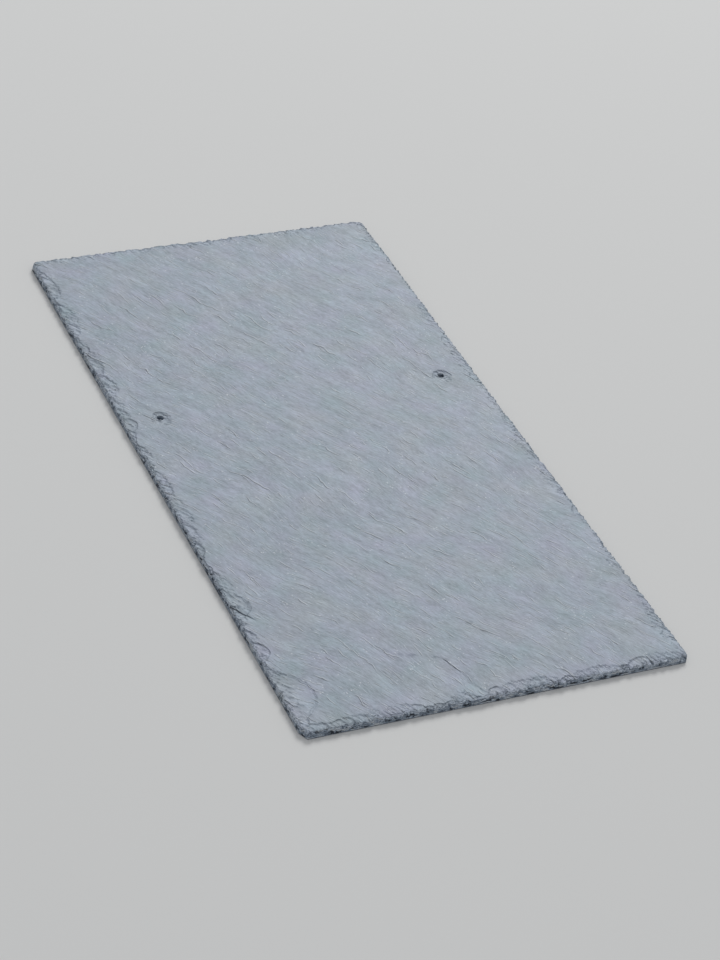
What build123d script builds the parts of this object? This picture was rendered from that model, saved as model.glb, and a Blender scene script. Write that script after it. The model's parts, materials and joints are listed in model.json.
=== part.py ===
"""A natural roofing slate, centre-nailed, lying on its bed with its weather face up.

One piece of stone, split along its cleavage and dressed on all four edges. The lower arris
is sheared straight, and above it the edge is knapped away in a run of small bites that slope
up to a scalloped upper arris. Here and there a blow ran on into the face and took a shallow
shell-shaped flake, and thin laminae have come away along the cleavage, which leaves low
terraces on the face. Two nail holes are punched from the bed, and each broke out of the face
in a small crater that seats the nail's head.

Frame: millimetres, origin at the middle of the bed, X across the slate, +Y to the head,
+Z up out of the weather face.
"""

from build123d import *
import math
import os
import random

# The slate
SLATE_LENGTH = 500.0  # tail to head
SLATE_WIDTH = 250.0
THICKNESS = 5.0

# Corners clipped in dressing, each as (across the slate, along the slate)
TAIL_LEFT_CLIP = (3.0, 6.5)
TAIL_RIGHT_CLIP = (2.2, 3.0)
HEAD_RIGHT_CLIP = (4.5, 3.5)
HEAD_LEFT_CLIP = (3.0, 5.0)

# The knapped edges: each pair is the least and the most that one bite measures
SIDE_BITE_PITCH = (3.2, 5.4)
END_BITE_PITCH = (4.8, 9.4)
SIDE_BITE_INSET = (1.3, 2.9)  # how far a bite reaches in over the face from the lower arris
END_BITE_INSET = (1.8, 4.4)
BITE_LAND = (0.7, 2.0)  # what a bite leaves of the sheared wall under it
BITE_OVERLAP = 1.75  # a bite's chord as a multiple of its pitch, so that neighbours meet
DRESSING_SEED = 7

# Flakes that ran on into the face from a blow on the edge
FLAKE_PITCH = (22.0, 70.0)
FLAKE_REACH = (4.0, 8.5)  # from the edge into the face
FLAKE_SPREAD = (0.9, 1.7)  # half the flake's length on the edge, as a multiple of its reach
FLAKE_DEPTH = (0.3, 0.8)  # under the face, at the edge
FLAKE_SEED = 11

# The two scars on the left side that show most: height above the tail, reach, spread, depth
CORNER_SCAR = (32.0, 20.5, 1.05, 0.7)
SIDE_SCAR = (115.0, 13.0, 0.8, 0.9)

# Where laminae came away, drawn from the slate's left side and its tail. The floor is level
# with the face along the line from the rim's last point to the foot, and falls away from it
TAIL_TERRACE_RIM = [(121.0, -2.0), (108.0, 29.0), (101.0, 41.0), (88.0, 46.0), (71.0, 61.0)]
TAIL_TERRACE_FOOT = (50.0, -2.0)
TAIL_TERRACE_DEPTH = 0.35
SIDE_TERRACE_RIM = [(252.0, 222.0), (230.0, 240.0), (224.0, 262.0), (258.0, 300.0)]
SIDE_TERRACE_FOOT = (300.0, 250.0)
SIDE_TERRACE_DEPTH = 0.4
HEAD_TERRACE_RIM = [(254.0, 392.0), (216.0, 418.0), (192.0, 452.0), (180.0, 520.0)]
HEAD_TERRACE_FOOT = (262.0, 530.0)
HEAD_TERRACE_DEPTH = 0.5

# Double-lap slating: each course laps the next but one, and the nail clears the slate below
HEAD_LAP = 85.0
HOLE_CLEARANCE = 12.5  # from the head of the slate below up to the nail
HOLE_EDGE_DISTANCE = 25.0
HOLE_DIAMETER = 4.5
CRATER_RADIUS = 6.0
CRATER_DEPTH = 1.3  # from the face down to the hole's own wall
CRATER_FLAKE_LEAN = 2.5  # the crater's wider, shallower flake lies this far off the hole
CRATER_FLAKE_RADIUS = 7.0
CRATER_FLAKE_DEPTH = 0.7

CLEAR = 2.0  # how far a cutter stands clear of the stone

GAUGE = (SLATE_LENGTH - HEAD_LAP) / 2
HOLE_FROM_TAIL = GAUGE + HEAD_LAP + HOLE_CLEARANCE

LEFT = -SLATE_WIDTH / 2
RIGHT = SLATE_WIDTH / 2
TAIL = -SLATE_LENGTH / 2
HEAD = SLATE_LENGTH / 2

# The sheared outline, anticlockwise from the tail's left end
OUTLINE = [
    (LEFT + TAIL_LEFT_CLIP[0], TAIL),
    (RIGHT - TAIL_RIGHT_CLIP[0], TAIL),
    (RIGHT, TAIL + TAIL_RIGHT_CLIP[1]),
    (RIGHT, HEAD - HEAD_RIGHT_CLIP[1]),
    (RIGHT - HEAD_RIGHT_CLIP[0], HEAD),
    (LEFT + HEAD_LEFT_CLIP[0], HEAD),
    (LEFT, HEAD - HEAD_LEFT_CLIP[1]),
    (LEFT, TAIL + TAIL_LEFT_CLIP[1]),
]


def edges():
    """Each straight edge of the outline, as its length and a frame that starts on it.

    In that frame X runs along the edge and Y into the slate.
    """
    found = []
    for start, end in zip(OUTLINE, OUTLINE[1:] + OUTLINE[:1]):
        run = Vector(*end) - Vector(*start)
        turn = math.degrees(math.atan2(run.Y, run.X))
        found.append((run.length, Location((*start, 0), (0, 0, turn))))
    return found


def bite(along, inset, land, pitch):
    """One knapped bite, as a leaning cylinder in an edge's frame.

    Its innermost line runs from the face, at the inset, down to the sheared wall, at the land.
    """
    rise = THICKNESS - land
    slope = math.hypot(inset, rise)
    depth = inset * rise / slope
    half_chord = pitch * BITE_OVERLAP / 2
    radius = (half_chord**2 + depth**2) / (2 * depth)
    outward = Vector(0, -rise / slope, inset / slope)
    middle = Vector(along, inset / 2, land + rise / 2) + outward * radius
    lean = Plane(origin=middle, x_dir=(1, 0, 0), z_dir=(0, inset / slope, rise / slope))
    return lean * Cylinder(radius, 2 * slope + 2 * CLEAR)


def knapped_bites():
    """The bites along every edge, one after the other, each a different size."""
    placed = []
    for number, (length, frame) in enumerate(edges()):
        chance = random.Random(DRESSING_SEED + number)
        along_side = abs(frame.orientation.Z) % 180 > 45
        pitch_range = SIDE_BITE_PITCH if along_side else END_BITE_PITCH
        inset_range = SIDE_BITE_INSET if along_side else END_BITE_INSET
        along = 0.0
        while along < length:
            pitch = chance.uniform(*pitch_range)
            cutter = bite(along, chance.uniform(*inset_range), chance.uniform(*BITE_LAND), pitch)
            placed.append(frame * cutter)
            along += pitch
    return placed


def shell_flake(along, reach, spread, depth):
    """A shallow shell-shaped flake in an edge's frame.

    It is the bowl of a ball that meets the face on a circle, moved out so that only its
    inner part is in the slate. The ball's poles point along the face, clear of the stone.
    """
    half_chord = reach * spread
    radius = (half_chord**2 + reach**2) / (2 * reach)
    ball = (radius**2 + depth**2) / (2 * depth)
    return Location((along, reach - radius, THICKNESS + ball - depth)) * Sphere(ball, rotation=(90, 0, 0))


def face_flakes():
    """The flakes that ran into the face, at chance places along the edges."""
    placed = []
    for number, (length, frame) in enumerate(edges()):
        chance = random.Random(FLAKE_SEED + number)
        along = chance.uniform(*FLAKE_PITCH) / 2
        while along < length:
            reach = chance.uniform(*FLAKE_REACH)
            spread = chance.uniform(*FLAKE_SPREAD)
            depth = chance.uniform(*FLAKE_DEPTH)
            placed.append(frame * shell_flake(along, reach, spread, depth))
            along += chance.uniform(*FLAKE_PITCH)
    return placed


def left_side_scar(above_tail, reach, spread, depth):
    """A larger flake off the left side, at a height above the tail."""
    frame = Location((LEFT, TAIL + above_tail, 0), (0, 0, -90))
    return frame * shell_flake(0, reach, spread, depth)


def terrace(rim, foot, depth):
    """The space a lamina left: a prism over the region inside its rim, tilted to its depth."""
    corner = Vector(LEFT, TAIL, THICKNESS)
    curve = Spline([corner + Vector(*point) for point in rim])
    closing = Polyline(curve @ 1, corner + Vector(*foot), curve @ 0)
    prism = extrude(make_face(curve + closing), THICKNESS, dir=(0, 0, 1))
    hinge = Axis(curve @ 1, corner + Vector(*foot) - curve @ 1)
    farthest = hinge.direction.cross(curve @ 0 - curve @ 1)
    slope = math.degrees(math.atan2(depth, farthest.length))
    return prism.rotate(hinge, math.copysign(slope, -farthest.Z))


def nail_hole():
    """The punched hole, and the crater with a wider, shallower flake that broke out of the face."""
    widening = (CRATER_RADIUS - HOLE_DIAMETER / 2) / CRATER_DEPTH
    profile = Polyline(
        (0, 0, -CLEAR),
        (HOLE_DIAMETER / 2, 0, -CLEAR),
        (HOLE_DIAMETER / 2, 0, THICKNESS - CRATER_DEPTH),
        (CRATER_RADIUS + CLEAR * widening, 0, THICKNESS + CLEAR),
        (0, 0, THICKNESS + CLEAR),
        close=True,
    )
    ball = (CRATER_FLAKE_RADIUS**2 + CRATER_FLAKE_DEPTH**2) / (2 * CRATER_FLAKE_DEPTH)
    centre = (0, -CRATER_FLAKE_LEAN, THICKNESS + ball - CRATER_FLAKE_DEPTH)
    return [revolve(make_face(profile), Axis.Z), Location(centre) * Sphere(ball, rotation=(90, 0, 0))]


def slate():
    stone = extrude(make_face(Polyline(*OUTLINE, close=True)), THICKNESS)
    stone -= terrace(TAIL_TERRACE_RIM, TAIL_TERRACE_FOOT, TAIL_TERRACE_DEPTH)
    stone -= terrace(SIDE_TERRACE_RIM, SIDE_TERRACE_FOOT, SIDE_TERRACE_DEPTH)
    stone -= terrace(HEAD_TERRACE_RIM, HEAD_TERRACE_FOOT, HEAD_TERRACE_DEPTH)
    for side in (-1, 1):
        place = Location((side * (SLATE_WIDTH / 2 - HOLE_EDGE_DISTANCE), TAIL + HOLE_FROM_TAIL, 0))
        stone -= [place * cutter for cutter in nail_hole()]
    stone -= knapped_bites()
    stone -= face_flakes() + [left_side_scar(*CORNER_SCAR), left_side_scar(*SIDE_SCAR)]
    # A crumb that the blows cut right off is gone
    return max(stone.solids(), key=lambda piece: piece.volume)


os.makedirs("parts", exist_ok=True)
export_step(slate(), "parts/slate.step")
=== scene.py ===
# %% [markdown]
# # A riven roofing slate
# A roofing slate is one sheet of stone, split along its cleavage and dressed with a knife or a
# hammer on all four edges. What the eye reads as slate is relief: low steps where one lamina
# ends and the next begins, fine streaks along the grain, and a dark chipped bevel round the rim.
# So most of this lesson makes real relief on a dense mesh, and the material adds only what is
# too small for the mesh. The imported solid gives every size, and nothing here changes one.

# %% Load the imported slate
from collections import namedtuple
import json
import math
import bmesh
import bpy
import numpy as np
from mathutils import Euler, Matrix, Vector, noise
from mathutils.bvhtree import BVHTree
from mathutils.geometry import delaunay_2d_cdt


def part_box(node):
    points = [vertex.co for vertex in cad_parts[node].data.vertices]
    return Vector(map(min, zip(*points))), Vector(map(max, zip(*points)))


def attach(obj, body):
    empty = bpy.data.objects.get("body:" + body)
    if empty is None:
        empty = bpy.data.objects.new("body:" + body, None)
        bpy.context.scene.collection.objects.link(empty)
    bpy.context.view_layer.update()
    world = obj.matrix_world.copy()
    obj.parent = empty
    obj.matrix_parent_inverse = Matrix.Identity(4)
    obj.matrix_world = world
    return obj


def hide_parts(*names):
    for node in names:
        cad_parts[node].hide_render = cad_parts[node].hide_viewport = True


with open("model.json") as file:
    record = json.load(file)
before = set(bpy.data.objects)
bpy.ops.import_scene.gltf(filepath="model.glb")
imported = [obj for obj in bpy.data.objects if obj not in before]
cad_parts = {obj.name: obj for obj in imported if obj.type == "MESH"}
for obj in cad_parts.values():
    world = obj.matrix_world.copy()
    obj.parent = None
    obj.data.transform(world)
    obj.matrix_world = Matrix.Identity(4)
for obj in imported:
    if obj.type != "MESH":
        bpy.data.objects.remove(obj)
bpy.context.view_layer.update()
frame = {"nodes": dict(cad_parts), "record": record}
MM = 0.001
slate_low, slate_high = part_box("slate")
WIDTH, LENGTH, THICKNESS = slate_high - slate_low
CENTRE = (slate_low + slate_high) / 2
BORES = [mount for mount in frame["record"]["mounts"] if mount["kind"] == "bore"]
NAIL_HOLES = [(np.array(bore["pos_m"][:2]), bore["dims"]["r_mm"] * MM) for bore in BORES]
scene = bpy.context.scene
print("a slate of", [round(side / MM, 2) for side in (WIDTH, LENGTH, THICKNESS)], "mm")
print(len(NAIL_HOLES), "nail holes of radius", round(NAIL_HOLES[0][1] / MM, 2), "mm")

# %% [markdown]
# ## The camera
# The photograph was taken from the left of the slate's tail, looking down on it. The joints on
# the roof converge in it, and that fixes the distance, the two angles and the small roll. A long
# lens from well back keeps the sides of the slate nearly parallel.

# %% Place the camera
VIEW_DISTANCE = 1.727
VIEW_LEFT_OF_TAIL = math.radians(28.2)
VIEW_ELEVATION = math.radians(36.55)
VIEW_ROLL = math.radians(8.3)
LENS_MM = 102.0
AIM = Vector((0.003, -0.034, 0.0))

level = math.cos(VIEW_ELEVATION)
back = Vector((
    -math.sin(VIEW_LEFT_OF_TAIL) * level, -math.cos(VIEW_LEFT_OF_TAIL) * level, math.sin(VIEW_ELEVATION),
))
upright_turn = (-back).to_track_quat("-Z", "Y").to_matrix()
camera = bpy.data.objects.new("camera", bpy.data.cameras.new("camera"))
camera.location = AIM + back * VIEW_DISTANCE
camera.rotation_euler = (upright_turn @ Euler((0, 0, VIEW_ROLL)).to_matrix()).to_euler()
camera.data.lens = LENS_MM
camera.data.clip_start = 0.05
scene.collection.objects.link(camera)
scene.camera = camera
print("camera at", [round(value, 3) for value in camera.location])

# %% [markdown]
# ## One helper for nodes and one for colours
# Materials and Geometry Nodes trees are both graphs of nodes, so one small function can add a
# node to either, with its settings and its links. Colours are written as they would be picked
# on a screen, and one function turns them into the linear values that a renderer works in.


# %% Helpers
def add(tree, kind, inputs=(), **settings):
    """Adds one node with its settings and inputs.

    A list fills the sockets that the settings leave in use, in their order, and a dict names
    them. Each input takes a value, a socket, or a node whose first output in use is meant.
    """
    node = tree.nodes.new(kind)
    for name, value in settings.items():
        setattr(node, name, value)
    if not isinstance(inputs, dict):
        in_use = [number for number, socket in enumerate(node.inputs) if socket.enabled]
        inputs = dict(zip(in_use, inputs))
    for key, value in inputs.items():
        if isinstance(value, bpy.types.Node):
            value = next(socket for socket in value.outputs if socket.enabled)
        if isinstance(value, bpy.types.NodeSocket):
            tree.links.new(value, node.inputs[key])
        else:
            node.inputs[key].default_value = value
    return node


def linear(hex_colour):
    """The linear RGBA of an sRGB colour written as #rrggbb."""
    channels = [int(hex_colour[start:start + 2], 16) / 255 for start in (1, 3, 5)]
    return [c / 12.92 if c <= 0.04045 else ((c + 0.055) / 1.055) ** 2.4 for c in channels] + [1.0]


print("middle grey is", round(linear("#808080")[0], 3), "in linear light")

# %% [markdown]
# ## Floor and light
# The slate lies on its bed on a plain pale floor. The photograph has the even light of an
# overcast sky, a little stronger from beyond the head and to the right. The grain crosses that
# light, so each step that faces the tail and the left side shows as a thin dark line. One wide
# soft lamp far off does that, and the world fills the shade.

# %% Lay the floor
FLOOR_SIDE = 12.0
FLOOR_GAP = 0.0001  # keeps the floor clear of the flat bed
FLOOR_COLOUR = "#dcdcda"

half_floor = FLOOR_SIDE / 2
corners = [(x, y, -FLOOR_GAP) for x in (-half_floor, half_floor) for y in (-half_floor, half_floor)]
floor_mesh = bpy.data.meshes.new("floor")
floor_mesh.from_pydata(corners, [], [(0, 2, 3, 1)])
floor = bpy.data.objects.new("floor", floor_mesh)
scene.collection.objects.link(floor)
paper = bpy.data.materials.new("matt studio paper")
paper.use_nodes = True
paper_surface = paper.node_tree.nodes["Principled BSDF"]
paper_surface.inputs["Base Color"].default_value = linear(FLOOR_COLOUR)
paper_surface.inputs["Roughness"].default_value = 0.9
paper_surface.inputs["Specular IOR Level"].default_value = 0.2
floor.data.materials.append(paper)
print("a floor", FLOOR_SIDE, "m wide")

# %% Hang the lights
SKY_COLOUR = "#f4f6fa"
SKY_STRENGTH = 0.5
KEY_WATTS = 370.0
KEY_WIDTH = 3.0
KEY_PLACE = Vector((3.9, 5.4, 4.4))

world = bpy.data.worlds.new("overcast")
world.use_nodes = True
sky = world.node_tree.nodes["Background"]
sky.inputs["Color"].default_value = linear(SKY_COLOUR)
sky.inputs["Strength"].default_value = SKY_STRENGTH
scene.world = world

key = bpy.data.objects.new("key", bpy.data.lights.new("key", "AREA"))
key.data.shape = "DISK"
key.data.size = KEY_WIDTH
key.data.energy = KEY_WATTS
key.location = KEY_PLACE
key.rotation_euler = (CENTRE - KEY_PLACE).to_track_quat("-Z", "Y").to_euler()
scene.collection.objects.link(key)
scene.view_settings.view_transform = "Standard"
print("the key light hangs", round((CENTRE - KEY_PLACE).length, 1), "m from the slate")

# %% [markdown]
# ## Where the mesh needs points
# Relief only shows where there are vertices to carry it. A plain grid would need a million, so
# the points are graded: closest in the chipped rim and round the nail holes, wider further in.
# On the open face they stand in rows along the grain, close across it and far apart along it,
# because the streaks are long and thin. A Delaunay triangulation then joins them all. A merged
# copy of the solid gives the outline and, later, every height.

# %% Read the outline of the bed
MERGE_DISTANCE = 1e-7

merged = bmesh.new()
merged.from_mesh(frame["nodes"]["slate"].data)
bmesh.ops.remove_doubles(merged, verts=merged.verts, dist=MERGE_DISTANCE)
merged.normal_update()
merged.faces.index_update()


def is_bed(face):
    """True for a face of the flat bed."""
    return face.normal.z < -0.999 and face.calc_center_median().z < 0.01 * THICKNESS


def bed_loops():
    """The closed loops of corners round the bed: the outline first, then the nail holes."""
    edges = [edge for edge in merged.edges if sum(is_bed(face) for face in edge.link_faces) == 1]
    nearby = {}
    for edge in edges:
        for vertex in edge.verts:
            nearby.setdefault(vertex, []).append(edge.other_vert(vertex))
    found = []
    while nearby:
        start = next(iter(nearby))
        loop, step = [start], nearby[start][0]
        previous = start
        while step is not start:
            loop.append(step)
            onward = nearby[step][0] if nearby[step][0] is not previous else nearby[step][1]
            previous, step = step, onward
        found.append(np.array([vertex.co[:2] for vertex in loop]))
        for vertex in loop:
            del nearby[vertex]
    return sorted(found, key=lambda loop: -np.ptp(loop[:, 1]))


outline, *hole_loops = bed_loops()
after = np.roll(outline, -1, axis=0)
if np.sum(outline[:, 0] * after[:, 1] - after[:, 0] * outline[:, 1]) < 0:
    outline = outline[::-1]  # anticlockwise, so that the stone is on the left of every side
print("an outline of", len(outline), "corners, and", len(hole_loops), "holes")

# %% Set the spacings
RIM_SPACING = 0.39 * MM
RIM_REACH = 3.6 * MM
BORDER_SPACING = 0.68 * MM
BORDER_REACH = 10.0 * MM
ACROSS_GRAIN = 1.5 * MM
ALONG_GRAIN = 4.0 * MM
CRATER_SPACING = 0.5 * MM
CRATER_REACH = 10.0 * MM
BED_SPACING = 5.0 * MM
ZONE_GAP = 0.3  # between two zones of points, as a share of the wider spacing
GRAIN_ANGLE = math.radians(-30.0)  # the grain leans left by this much toward the head
JITTER = 0.22  # how far a point strays, as a share of the spacing
PLACING_SEED = 3

rng = np.random.default_rng(PLACING_SEED)


def sides(loop):
    """Each side of a loop, as its start, its length, and the unit vectors along it and inward."""
    for start, end in zip(loop, np.roll(loop, -1, axis=0)):
        length = np.hypot(*(end - start))
        along = (end - start) / length
        yield start, length, along, np.array([-along[1], along[0]])


def lattice(across, along, angle):
    """Points in rows over the whole slate, each moved a little by chance."""
    reach = 0.6 * math.hypot(WIDTH, LENGTH)  # over half the diagonal, so that every corner is met
    columns = np.arange(-reach, reach, across)
    rows = np.arange(-reach, reach, along)
    u, v = [axis.ravel() for axis in np.meshgrid(columns, rows)]
    u = u + rng.uniform(-JITTER, JITTER, u.size) * across
    v = v + rng.uniform(-JITTER, JITTER, v.size) * along
    x = u * math.cos(angle) + v * math.sin(angle) + CENTRE.x
    y = -u * math.sin(angle) + v * math.cos(angle) + CENTRE.y
    return np.column_stack([x, y])


def inset_of(points):
    """How far each point lies inside the convex outline."""
    return np.min([(points - start) @ inward for start, _, _, inward in sides(outline)], axis=0)


def from_holes(points):
    """How far each point lies from the nearest nail hole's wall."""
    return np.min([np.hypot(*(points - middle).T) - radius for middle, radius in NAIL_HOLES], axis=0)


def ring(corners, spacing):
    """Evenly spaced points along a closed loop, its corners kept."""
    made = []
    for start, length, along, _ in sides(corners):
        count = max(1, round(length / spacing))
        made += [start + along * length * step / count for step in range(count)]
    return np.array(made)


def hole_ring(middle, radius, spacing):
    """Points round a nail hole's wall."""
    turns = np.arange(0, math.tau, math.tau / round(math.tau * radius / spacing))
    return middle + radius * np.column_stack([np.cos(turns), np.sin(turns)])


def between(points, nearest, farthest):
    """The points whose inset lies in a range and that keep clear of the nail holes."""
    inset = inset_of(points)
    return points[(inset > nearest) & (inset <= farthest) & (from_holes(points) > CRATER_REACH)]


edge_rings = [ring(outline, RIM_SPACING)] + [hole_ring(*hole, RIM_SPACING) for hole in NAIL_HOLES]
print([len(loop) for loop in edge_rings], "points round the edges")

# %% [markdown]
# ### Crests
# Where a flake or a terrace of the solid ends, its crest is a sharp line, and a lattice would
# leave it jagged. A pair of points to either side of the line, all along it, keeps it sharp.

# %% Follow the crests
CREST_SPACING = 0.6 * MM
CREST_OFFSET = 0.1 * MM  # the points stand this far to either side of a crest
CREST_TURN = math.radians(2.5)
LEAST_UPWARD = 0.3  # a face that turns up less than this belongs to a wall


def crest_points():
    """Pairs of points either side of each crest on the open face."""
    made = []
    for edge in merged.edges:
        if len(edge.link_faces) != 2 or min(face.normal.z for face in edge.link_faces) < LEAST_UPWARD:
            continue
        start, end = (np.array(vertex.co[:2]) for vertex in edge.verts)
        if edge.calc_face_angle() < CREST_TURN or inset_of(np.array([start, end])).min() < RIM_REACH:
            continue
        run = end - start
        length = np.hypot(*run)
        count = max(1, round(length / CREST_SPACING))
        across = np.array([-run[1], run[0]]) / length * CREST_OFFSET
        for share in (np.arange(count) + 0.5) / count:
            made += [start + run * share + across, start + run * share - across]
    made = np.array(made)
    return made[from_holes(made) > CRATER_SPACING]


crests = crest_points()
print(len(crests), "points along crests")

# %% [markdown]
# ### The long split
# The strongest line on the slate's left side is a split that runs from the edge into the face,
# straight along the grain. The stone below it came away as a second lamina. It is given a place
# of its own, because the eye goes to it first, and it gets rows of its own points.

# %% Mark the long split
SPLIT_ABOVE_TAIL = 118.5 * MM
SPLIT_LENGTH = 22.0 * MM
SPLIT_WIDTH = 8.0 * MM
SPLIT_DEPTH_MM = 0.8
SPLIT_DROP_RUN = 0.6 * MM  # how wide the drop is, seen from above
SPLIT_FADE = 0.1  # the share of the length over which the painted shade on the drop sets in

GRAIN_WAY = np.array([math.sin(GRAIN_ANGLE), math.cos(GRAIN_ANGLE)])
BELOW_SPLIT = np.array([-GRAIN_WAY[1], GRAIN_WAY[0]])
SPLIT_START = np.array([slate_low.x, slate_low.y + SPLIT_ABOVE_TAIL])


def split_at(places):
    """What the split takes off the face in millimetres, and how much of it is the drop, from 0 to 1."""
    along = (places - SPLIT_START) @ -GRAIN_WAY / SPLIT_LENGTH
    below = (places - SPLIT_START) @ BELOW_SPLIT
    taper = np.sqrt(np.clip(1 - along**2, 1e-4, 1))
    dropped = np.clip(below / SPLIT_DROP_RUN, 0, 1)
    still_low = np.clip(1 - below / (SPLIT_WIDTH * taper), 0, 1)
    on_drop = np.clip(1 - abs(below / SPLIT_DROP_RUN - 0.5), 0, 1) * np.clip(along / SPLIT_FADE, 0, 1)
    return SPLIT_DEPTH_MM * taper * dropped * still_low, on_drop * taper


split_steps = np.arange(3 * CREST_SPACING, SPLIT_LENGTH, CREST_SPACING)
for share in (0.0, 0.5, 1.0):
    row_start = SPLIT_START + share * SPLIT_DROP_RUN * BELOW_SPLIT
    crests = np.concatenate([crests, row_start - split_steps[:, None] * GRAIN_WAY])
print(3 * len(split_steps), "points along the split")

# %% Place the points of the face and the bed
crater_points = lattice(CRATER_SPACING, CRATER_SPACING, 0)
hole_distance = from_holes(crater_points)
crater_points = crater_points[(hole_distance > 0.5 * CRATER_SPACING) & (hole_distance <= CRATER_REACH)]
rim_points = lattice(RIM_SPACING, RIM_SPACING, 0)
border_points = lattice(BORDER_SPACING, BORDER_SPACING, 0)
open_points = lattice(ACROSS_GRAIN, ALONG_GRAIN, GRAIN_ANGLE)
face_points = np.concatenate([
    between(rim_points, 0.5 * RIM_SPACING, RIM_REACH),
    between(border_points, RIM_REACH + ZONE_GAP * BORDER_SPACING, BORDER_REACH),
    between(open_points, BORDER_REACH + ZONE_GAP * ALONG_GRAIN, LENGTH),
    crater_points,
    crests,
])
bed_border_points = lattice(2 * BORDER_SPACING, 2 * BORDER_SPACING, 0)
bed_open_points = lattice(BED_SPACING, BED_SPACING, GRAIN_ANGLE)
bed_points = np.concatenate([
    between(bed_border_points, BORDER_SPACING, 3 * BORDER_SPACING),
    between(bed_open_points, BED_SPACING, LENGTH),
])
print(len(face_points), "points on the face and", len(bed_points), "on the bed")

# %% Join the points into triangles
LEAST_AREA = 1e-6 * MM**2


def triangulate(inner):
    """Delaunay triangles over the rings and the inner points, with the nail holes left open.

    Along a slanted edge the points are in line only to the last digit, so flat slivers join
    them on the outside. They have no area, and they are left out.
    """
    places = np.concatenate(edge_rings + [inner])
    edges, first = [], 0
    for loop in edge_rings:
        count = len(loop)
        edges += [(first + step, first + (step + 1) % count) for step in range(count)]
        first += count
    made = delaunay_2d_cdt([Vector(place) for place in places], edges, [], 1, 1e-9, False)
    assert len(made[0]) == len(places), "two points lie in one place"
    triangles = np.array(made[2])
    one, two, three = places[triangles].swapaxes(0, 1)
    across, up = (two - one).T, (three - one).T
    area = (across[0] * up[1] - across[1] * up[0]) / 2
    return places, triangles[(area > LEAST_AREA) & (from_holes((one + two + three) / 3) > 0)]


face_places, face_triangles = triangulate(face_points)
bed_places, bed_triangles = triangulate(bed_points)
print(len(face_triangles), "triangles on the face,", len(bed_triangles), "on the bed")

# %% [markdown]
# ## Dropping the face onto the solid
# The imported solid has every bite, flake and terrace at its real place. A ray sent straight down
# from each point finds the stone's height there. The bites of the solid are clean curves, and
# real ones are ragged, so each ray near the rim starts a chance distance away from its point.
# It never leaves the stone: at the rim it meets the foot of the bite, not the wall's edge.

# %% Find the heights
INSIDE = 0.03 * MM  # a ray starts at least this far inside the stone's edges
RAGGED = 0.75 * MM
RAGGED_COARSE = 4.0 * MM
RAGGED_FINE = 1.3 * MM
RAGGED_SEED = 3  # without one, the noise module shifts its vector noise by the clock
TERRACE_AREA = 200 * MM**2  # the flakes are bowls, so only a terrace has a flat floor this large
DOWN = Vector((0, 0, -1))

stone = BVHTree.FromBMesh(merged)
noise.seed_set(RAGGED_SEED)


def ragged_shift(x, y):
    """A chance vector for a place, from coarse and fine noise."""
    coarse = noise.noise_vector(Vector((x, y, 0.0)) / RAGGED_COARSE)
    fine = noise.noise_vector(Vector((x, y, 1.0)) / RAGGED_FINE)
    return np.array((coarse + 0.6 * fine)[:2])


def kept_inside(places):
    """The places, with those outside the stone or over a hole moved to just inside its edge."""
    moved = places.copy()
    for start, _, _, inward in sides(outline):
        moved += np.maximum(INSIDE - (moved - start) @ inward, 0)[:, None] * inward
    for middle, radius in NAIL_HOLES:
        away = moved - middle
        distance = np.hypot(*away.T)
        short = distance < radius + INSIDE
        moved[short] = middle + away[short] / distance[short, None] * (radius + INSIDE)
    return moved


def hit_at(x, y):
    """The height of the stone's upper surface at a place, and which of its faces lies there."""
    place, _, index, _ = stone.ray_cast(Vector((x, y, 2 * THICKNESS)), DOWN)
    return (place.z, index) if place else (0.0, 0)


def terrace_floors():
    """For each face of the solid, whether it belongs to a terrace's floor: flat, tilted and large."""
    ways = [tuple(round(part, 4) for part in face.normal) for face in merged.faces]
    area_of = dict.fromkeys(ways, 0.0)
    for way, face in zip(ways, merged.faces):
        area_of[way] += face.calc_area()
    return np.array([way[2] > 0.99 and way != (0, 0, 1) and area_of[way] > TERRACE_AREA for way in ways])


edge_distance = np.minimum(inset_of(face_places), from_holes(face_places))
fade = np.clip(1 - edge_distance / BORDER_REACH, 0, 1)[:, None]
shift = np.array([ragged_shift(x, y) for x, y in face_places])
starts = kept_inside(face_places + shift * RAGGED * fade)
hits = np.array([hit_at(x, y) for x, y in starts])
on_terrace = terrace_floors()[hits[:, 1].astype(int)]
depth_mm = (slate_high.z - hits[:, 0]) / MM
print("the solid's face lies up to", round(depth_mm.max(), 2), "mm below its highest point")

# %% [markdown]
# A flake of the solid runs out at its rim, but a real one tears off there, so its rim is made a
# step. A terrace already ends in a step and keeps its own. The broken edge is then rounded into
# a shoulder, slow near the face and steeper toward its foot.

# %% Tear the rims and round the shoulder
TORN_RIM_MM = 0.4
TORN_CRATER_MM = 0.12
TORN_WITHIN_MM = 0.05  # the step is complete where the flake is this deep
SHOULDER_FROM_MM = 0.8
SHOULDER_RANGE_MM = 3.4
SHOULDER = 1.8

torn_rim = np.where(from_holes(face_places) < CRATER_REACH, TORN_CRATER_MM, TORN_RIM_MM)
torn_rim[on_terrace] = 0.0
depth_mm += torn_rim * np.clip(depth_mm / TORN_WITHIN_MM, 0, 1)
past_face = np.maximum(depth_mm - SHOULDER_FROM_MM, 0) / SHOULDER_RANGE_MM
rounded_mm = SHOULDER_FROM_MM + SHOULDER_RANGE_MM * past_face**SHOULDER
depth_mm = np.where(depth_mm > SHOULDER_FROM_MM, rounded_mm, depth_mm)
print((depth_mm > SHOULDER_FROM_MM).sum(), "points on the broken edge")

# %% [markdown]
# ## The small flakes
# The solid has the large flakes. Between them the knife left many shallow ones, from one to nine
# millimetres long, most of them along the tail. Each is half an ellipse on the edge, leaning
# along the grain, with a ragged rim: a short step down at the rim and then a slow fall outward.

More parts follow.
